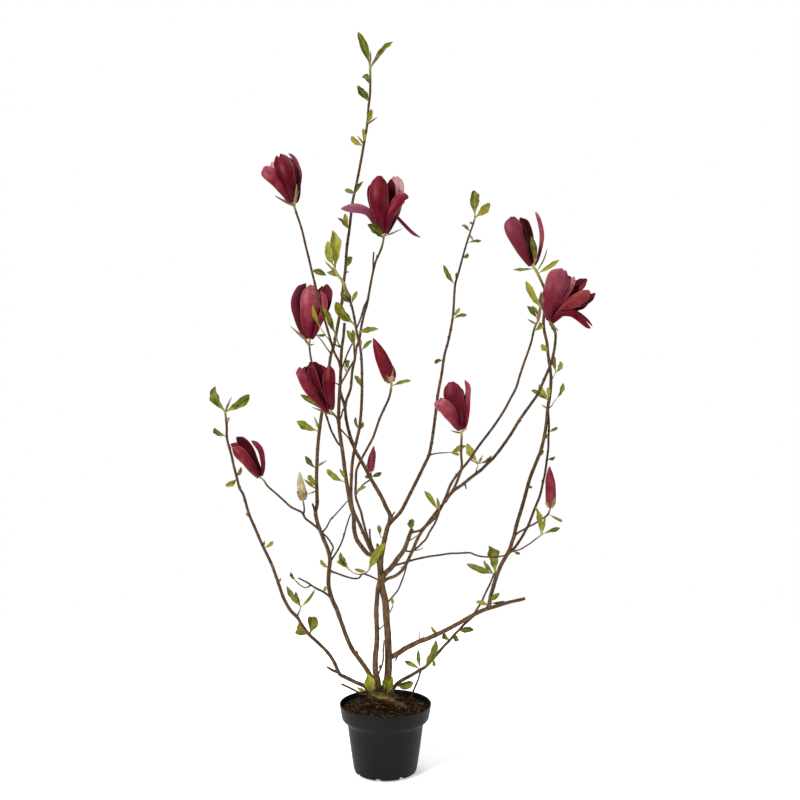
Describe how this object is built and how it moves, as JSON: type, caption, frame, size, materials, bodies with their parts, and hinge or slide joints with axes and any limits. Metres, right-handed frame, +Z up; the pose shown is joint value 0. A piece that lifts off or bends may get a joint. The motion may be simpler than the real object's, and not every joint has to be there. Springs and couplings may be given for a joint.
{
  "type": "potted magnolia shrub",
  "caption": "Young deciduous magnolia in a round nursery pot: bare arching stems, small new leaves, wine-red goblet blooms and closed buds.",
  "frame": {"origin": "centre of the pot's underside, on the floor", "axes": "+Z up along the plant, -Y towards the viewer, +X to the viewer's right"},
  "size_m": [0.77, 0.4245, 1.6109],
  "materials": {
    "plastic": "satin charcoal grey",
    "compost": "coarse dark brown compost",
    "wood_and_leaf": "grey-brown bark and olive green young leaves",
    "tepal": "satin wine red",
    "furry_bud": "pale silky hairs"
  },
  "bodies": {
    "root": {"pot": "plastic", "soil": "compost", "stem_left": "wood_and_leaf", "stem_inner_left": "wood_and_leaf", "trunk": "wood_and_leaf", "stem_right": "wood_and_leaf", "bloom_1": "tepal", "bloom_2": "tepal", "bloom_3": "tepal", "bloom_4": "tepal", "bloom_6": "tepal", "bloom_7": "tepal", "bloom_8": "tepal", "bloom_9": "tepal", "bloom_5": "tepal", "bud_10": "tepal", "bud_11": "tepal", "bud_12": "furry_bud"}
  },
  "joints": []
}
